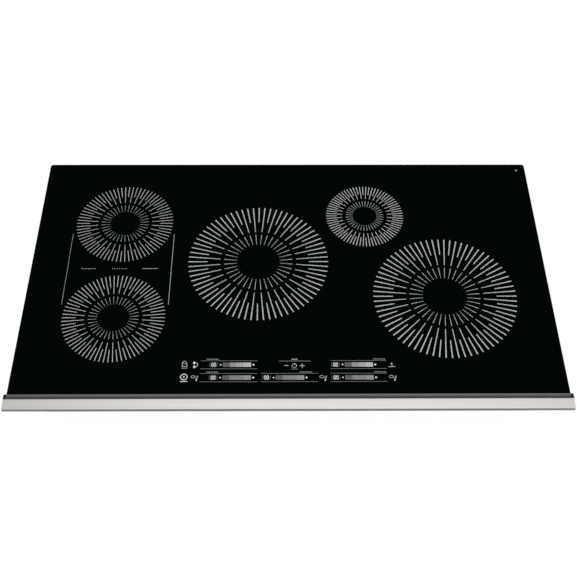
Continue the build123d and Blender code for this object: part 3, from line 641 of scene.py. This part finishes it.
# Timer keys under their rule and label, then the keys at the left and right ends
TIMER_RULE_START, TIMER_RULE_END, TIMER_RULE_Y, TIMER_RULE_PEN = -16.9, 36.25, 61.425, 0.65
TIMER_LABEL_X, TIMER_LABEL_Y = 4.6, 64.8
rule(lines, TIMER_RULE_START, TIMER_RULE_END, TIMER_RULE_Y, TIMER_RULE_PEN)
label(TIMER_LABEL_X, TIMER_LABEL_Y, TIMER_LABEL_BARS, TIMER_BAR_WIDTH, TIMER_BAR_HEIGHT)
minus_key(-4.2, 52.9)
clock_key(9.1, 52.7)
plus_key(22.2, 52.55)
lock_key(-178.0, 50.7)
dimming_key(-156.5, 54.4)
power_key(-173.5, 31.5)
for pan_x in (-163.0, 49.6, 164.6):
    pan_key(pan_x, 23.1)
stand_key(171.55, 50.375)

piece("control_lines", lines, "print_middle")
piece("control_digits", digits, "print_white")
piece("control_dots", dots, "print_white")
piece("control_labels", labels, "print_light")
piece("control_icons", icons, "print_pale")
piece("control_faint_icons", faint_icons, "print_light")
piece("control_bright_icons", bright_icons, "print_white")
for tone, mesh in sliders.items():
    piece(tone.replace("print", "slider"), mesh, tone)


# Fasteners and the access cover: their shapes are in millimetres, and their places in metres

# Rows of radius and height over the seat and, in a drive, the depth of its lobes as a share of the radius
WASHER_FLANGE = ((5.2, -0.3), (5.5, 0.4), (5.3, 0.9), (3.4, 1.3))
WASHER_HEXAGON = ((3.4, 0.6), (3.7, 1.2), (3.7, 3.6), (3.1, 4.2))
PAN_DOME = ((4.0, -0.3), (4.1, 0.5), (3.8, 1.3), (3.0, 1.9), (2.2, 2.1), (1.6, 2.1, 0.16), (1.5, 0.8, 0.16))
ROUND_STEPS = 24
DRIVE_LOBES = 6
HEXAGON_STEPS = 6
HEXAGON_TURN = math.pi / 6


def facing(point, outward):
    """Place in millimetres whose own z points outwards."""
    turn = Vector(outward).to_track_quat("Z", "Y").to_matrix().to_4x4()
    return Matrix.Translation(point) @ turn @ Matrix.Scale(MM, 4)


def ring(mesh, place, radius, height, steps, turn, lobe=0.0):
    """Ring of vertices about a fastener's axis, with lobes if any."""
    loop = []
    for step in range(steps):
        angle = turn + 2 * math.pi * step / steps
        reach = radius * (1 + lobe * math.cos(DRIVE_LOBES * angle))
        point = Vector((reach * math.cos(angle), reach * math.sin(angle), height))
        loop.append(mesh.verts.new(place @ point))
    return loop


def turned(mesh, place, profile, steps=ROUND_STEPS, turn=0.0):
    """Closed solid from rows of radius, height and lobe about an axis."""
    solid(mesh, [ring(mesh, place, radius, height, steps, turn, *lobe) for radius, height, *lobe in profile])


def washer_head(mesh, place):
    """Hex washer head of a sheet-metal screw."""
    turned(mesh, place, WASHER_FLANGE)
    turned(mesh, place, WASHER_HEXAGON, HEXAGON_STEPS, HEXAGON_TURN)


def pan_head(mesh, place):
    """Low round head of a sheet-metal screw, with a six-lobed drive."""
    turned(mesh, place, PAN_DOME)


# Screws through the box into the tabs of the glass frame, at both sides and at the rear
TAB_SCREW_DROP = 8.5 * MM
SIDE_TAB_SHIFT = 165 * MM
REAR_TAB_SHIFT = 280 * MM
box_middle_y = (BOX_LOW.y + BOX_HIGH.y) / 2
tab_screw_z = BOX_HIGH.z - TAB_SCREW_DROP
mesh = bmesh.new()
for shift in (-SIDE_TAB_SHIFT, SIDE_TAB_SHIFT):
    washer_head(mesh, facing((BOX_HIGH.x, box_middle_y + shift, tab_screw_z), (1, 0, 0)))
    washer_head(mesh, facing((BOX_LOW.x, box_middle_y + shift, tab_screw_z), (-1, 0, 0)))
for x in (-REAR_TAB_SHIFT, REAR_TAB_SHIFT):
    washer_head(mesh, facing((x, BOX_HIGH.y, tab_screw_z), (0, 1, 0)))
piece("box_screws", mesh, "zinc_screw")

# Two screws through the back of each hold-down bracket
BRACKET_SHEET = 2.5 * MM
BRACKET_SCREW_SHIFT = 19 * MM
BRACKET_SCREW_DROP = 11 * MM
mesh = bmesh.new()
for side, outward in (("left", -1), ("right", 1)):
    bracket_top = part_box("hold_down_bracket_" + side)[1].z
    face_x = outward * (BOX_HIGH.x + BRACKET_SHEET)
    for shift in (-BRACKET_SCREW_SHIFT, BRACKET_SCREW_SHIFT):
        seat = (face_x, box_middle_y + shift, bracket_top - BRACKET_SCREW_DROP)
        washer_head(mesh, facing(seat, (outward, 0, 0)))
piece("bracket_screws", mesh, "zinc_screw")

# Six screws into each module tray, sunk in the ribs of the box's floor
FLOOR_RIB_HEIGHT = 2.5 * MM
TRAY_SCREW_ACROSS = 100 * MM
TRAY_SCREW_ALONG = 150 * MM
mesh = bmesh.new()
for side in ("left", "right"):
    low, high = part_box("module_tray_" + side)
    middle = (low + high) / 2
    for across in (-TRAY_SCREW_ACROSS, TRAY_SCREW_ACROSS):
        for along in (-TRAY_SCREW_ALONG, 0, TRAY_SCREW_ALONG):
            seat = (middle.x + across, middle.y + along, BOX_LOW.z + FLOOR_RIB_HEIGHT)
            pan_head(mesh, facing(seat, (0, 0, -1)))
piece("tray_screws", mesh, "zinc_screw")

# Clamping screw of the conduit connector
CONDUIT_SCREW_RISE = 10 * MM
conduit_low, conduit_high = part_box("conduit_connector")
conduit_x = (conduit_low.x + conduit_high.x) / 2
mesh = bmesh.new()
pan_head(mesh, facing((conduit_x, conduit_high.y, conduit_low.z + CONDUIT_SCREW_RISE), (0, 1, 0)))
piece("conduit_screw", mesh, "zinc_screw")

# Access cover over the terminals, with its two screws
COVER_WIDTH, COVER_HEIGHT, COVER_SHEET = 56.0, 34.0, 1.2
COVER_CORNER = 4.0
COVER_EASE = 0.3
COVER_INSET, COVER_DROP = 40 * MM, 26 * MM
COVER_SCREW_SHIFT = 22 * MM
cover_x = BOX_HIGH.x - COVER_INSET
cover_z = BOX_HIGH.z - COVER_DROP


def rounded(width, height, radius, steps=5):
    """Outline of a rectangle with round corners, about its middle."""
    outline = []
    for quarter, (side, end) in enumerate(((1, 1), (-1, 1), (-1, -1), (1, -1))):
        for step in range(steps + 1):
            angle = math.pi / 2 * (quarter + step / steps)
            outline.append((
                side * (width / 2 - radius) + radius * math.cos(angle),
                end * (height / 2 - radius) + radius * math.sin(angle)))
    return outline


def cover(mesh, place):
    """Sheet-metal cover with round corners and an eased outer edge."""
    loops = []
    for inset, level in ((0, -COVER_EASE), (0, COVER_SHEET - COVER_EASE), (COVER_EASE, COVER_SHEET)):
        outline = rounded(COVER_WIDTH - 2 * inset, COVER_HEIGHT - 2 * inset, COVER_CORNER - inset)
        loops.append([mesh.verts.new(place @ Vector((x, y, level))) for x, y in outline])
    solid(mesh, loops)


mesh = bmesh.new()
cover(mesh, facing((cover_x, BOX_HIGH.y, cover_z), (0, 1, 0)))
piece("wiring_cover", mesh, "bracket_steel")
mesh = bmesh.new()
for shift in (-COVER_SCREW_SHIFT, COVER_SCREW_SHIFT):
    pan_head(mesh, facing((cover_x + shift, BOX_HIGH.y + COVER_SHEET * MM, cover_z), (0, 1, 0)))
piece("wiring_cover_screws", mesh, "zinc_screw")

# Clamp bolts
BOLT_HEAD_HEIGHT = 4.0
BOLT_HEAD_EASE, BOLT_EASE_SHARE = 0.6, 0.9
THREAD_CREST, THREAD_ROOT, THREAD_PITCH = 3.0, 2.56, 1.25
THREAD_STEPS = 20
RUN_OUT_TURNS = 2


def clamp_bolt(side):
    """Hold-down bolt with a rolled thread, in the place of the plain solid."""
    low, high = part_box("clamp_screw_" + side)
    middle = (low + high) / 2
    place = Matrix.Translation((middle.x, middle.y, low.z)) @ Matrix.Scale(MM, 4)
    length = (high.z - low.z) / MM
    corner = (high.y - low.y) / 2 / MM / math.cos(HEXAGON_TURN)
    mesh = bmesh.new()
    head = ((corner * BOLT_EASE_SHARE, 0), (corner, BOLT_HEAD_EASE), (corner, BOLT_HEAD_HEIGHT))
    turned(mesh, place, head, HEXAGON_STEPS, HEXAGON_TURN)

    def vertex(angle, radius, height):
        """Point of the thread by its angle, radius and height."""
        return mesh.verts.new(place @ Vector((radius * math.cos(angle), radius * math.sin(angle), height)))

    count = round((length - BOLT_HEAD_HEIGHT) / THREAD_PITCH * THREAD_STEPS) - THREAD_STEPS
    roots = []
    crests = []
    for index in range(count + 1):
        angle = 2 * math.pi * index / THREAD_STEPS
        height = BOLT_HEAD_HEIGHT + THREAD_PITCH * index / THREAD_STEPS
        run_out = min(1.0, (count - index) / (RUN_OUT_TURNS * THREAD_STEPS))
        crest = THREAD_ROOT + (THREAD_CREST - THREAD_ROOT) * run_out
        roots.append(vertex(angle, THREAD_ROOT, height))
        crests.append(vertex(angle, crest, height + THREAD_PITCH / 2))
    for index in range(count):
        mesh.faces.new((roots[index], roots[index + 1], crests[index + 1], crests[index]))
        above = index + THREAD_STEPS
        if above < count:
            mesh.faces.new((crests[index], crests[index + 1], roots[above + 1], roots[above]))
    foot = roots[:THREAD_STEPS + 1] + [crests[0]]
    tip = crests[count - THREAD_STEPS:] + [roots[count]]
    for height, rim in ((BOLT_HEAD_HEIGHT, foot), (length, tip)):
        hub = vertex(0, 0, height)
        for near, far in zip(rim, rim[1:] + rim[:1]):
            mesh.faces.new((hub, near, far))
    bolt = piece("clamp_bolt_" + side, mesh, "zinc_screw", "clamp_" + side)
    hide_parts("clamp_screw_" + side)


clamp_bolt("left")
clamp_bolt("right")


# Camera

# Its turn to the right, tilt down and roll, its place from the middle of the glass's front edge, and its lens
TURN, TILT, ROLL = math.radians(0.653), math.radians(54.923), math.radians(0.4536)
CAMERA_SIDE, CAMERA_BACK, CAMERA_RISE = -0.0104, 0.7132, 1.3155
LENS, SENSOR = 56.845, 36.0

ahead = Vector((math.sin(TURN) * math.cos(TILT), math.cos(TURN) * math.cos(TILT), -math.sin(TILT)))
level = Vector((math.cos(TURN), -math.sin(TURN), 0))
upward = level.cross(ahead)
right = level * math.cos(ROLL) + upward * math.sin(ROLL)
up = upward * math.cos(ROLL) - level * math.sin(ROLL)
camera_data = bpy.data.cameras.new("camera")
camera_data.lens = LENS
camera_data.sensor_width = SENSOR
camera = bpy.data.objects.new("camera", camera_data)
camera.matrix_world = Matrix((
    (right.x, up.x, -ahead.x, CAMERA_SIDE),
    (right.y, up.y, -ahead.y, GLASS_LOW.y - CAMERA_BACK),
    (right.z, up.z, -ahead.z, GLASS_HIGH.z + CAMERA_RISE),
    (0, 0, 0, 1)))
bpy.context.scene.collection.objects.link(camera)
bpy.context.scene.camera = camera


# Studio

def softbox(name, place, target, size, power, mirrored=True):
    """Rectangular soft light that faces a point, isn't itself in the picture and may show in reflections."""
    data = bpy.data.lights.new(name, "AREA")
    data.shape = "RECTANGLE"
    data.size, data.size_y = size
    data.energy = power
    light = bpy.data.objects.new(name, data)
    light.location = place
    light.rotation_euler = (Vector(target) - Vector(place)).to_track_quat("-Z", "Y").to_euler()
    light.visible_camera = False
    light.visible_glossy = mirrored
    bpy.context.scene.collection.objects.link(light)


softbox("overhead", place=(0.17, -0.25, 2.3), target=(0.17, -0.25, 0.0), size=(2.86, 1.9), power=24.0)
softbox("key", place=(0.5, -2.6, 2.4), target=(0.0, 0.0, 0.1), size=(4.8, 3.0), power=44.0, mirrored=False)
softbox("front_card", place=(0.1, -2.3, 2.4), target=(0.0, -0.2, 0.1), size=(4.6, 1.9), power=37.0)
for name, x in (("side_left", -2.7), ("side_right", 2.7)):
    softbox(name, place=(x, 1.5, 0.8), target=(0.0, 0.0, 0.05), size=(2.2, 1.2), power=48.0, mirrored=False)
softbox("below", place=(0.0, 0.0, -1.6), target=(0.0, 0.0, 0.0), size=(2.4, 2.4), power=30.0)


def grey(tone):
    """Neutral colour."""
    return tone, tone, tone, 1.0


# The camera sees a pale backdrop, and reflections see a dark room that is lighter at the horizon
world = bpy.data.worlds.new("studio")
bpy.context.scene.world = world
world.use_nodes = True
sky = world.node_tree
sky.nodes.clear()
rays = add(sky, "LightPath")
height = add(sky, "SeparateXYZ", {0: add(sky, "TexCoord").outputs["Generated"]}).outputs["Z"]
horizon = add(sky, "MapRange", {"Value": height}, {
    "From Min": 0.2, "From Max": 0.6, "To Min": 0.16, "To Max": 0.012}, interpolation_type="SMOOTHSTEP")
dim = add(sky, "Background", {"Strength": horizon.outputs["Result"]}, {"Color": grey(1.0)})
pale = add(sky, "Background", values={"Color": grey(1.0), "Strength": 0.98})
seen = add(sky, "MixShader", {0: rays.outputs["Is Camera Ray"], 1: dim.outputs[0], 2: pale.outputs[0]})
add(sky, "OutputWorld", {"Surface": seen.outputs[0]})

# Paper floor, which is clear from below
FLOOR_REACH = 30.0
FLOOR_DROP = 0.5 * MM
floor_corners = [(x * FLOOR_REACH, y * FLOOR_REACH, 0) for x, y in ((-1, -1), (1, -1), (1, 1), (-1, 1))]
floor_data = bpy.data.meshes.new("floor")
floor_data.from_pydata(floor_corners, [], [(0, 1, 2, 3)])
floor = bpy.data.objects.new("floor", floor_data)
floor.location.z = -FLOOR_DROP
floor.visible_shadow = False
bpy.context.scene.collection.objects.link(floor)
paper = bpy.data.materials.new("paper")
paper.use_nodes = True
tree = paper.node_tree
tree.nodes.clear()
rays = add(tree, "LightPath")
side = add(tree, "NewGeometry")
lit = add(tree, "BsdfDiffuse", values={"Color": grey(0.3)})
shade = add(tree, "BsdfDiffuse", values={"Color": grey(0.1)})
glow = add(tree, "Emission", values={"Color": grey(1.0), "Strength": 0.94})
bright = add(tree, "AddShader", {0: shade.outputs[0], 1: glow.outputs[0]})
seen = add(tree, "MixShader", {0: rays.outputs["Is Camera Ray"], 1: lit.outputs[0], 2: bright.outputs[0]})
clear = add(tree, "BsdfTransparent")
top = add(tree, "MixShader", {0: side.outputs["Backfacing"], 1: seen.outputs[0], 2: clear.outputs[0]})
add(tree, "OutputMaterial", {"Surface": top.outputs[0]})
floor_data.materials.append(paper)

bpy.context.scene.view_settings.view_transform = "Standard"
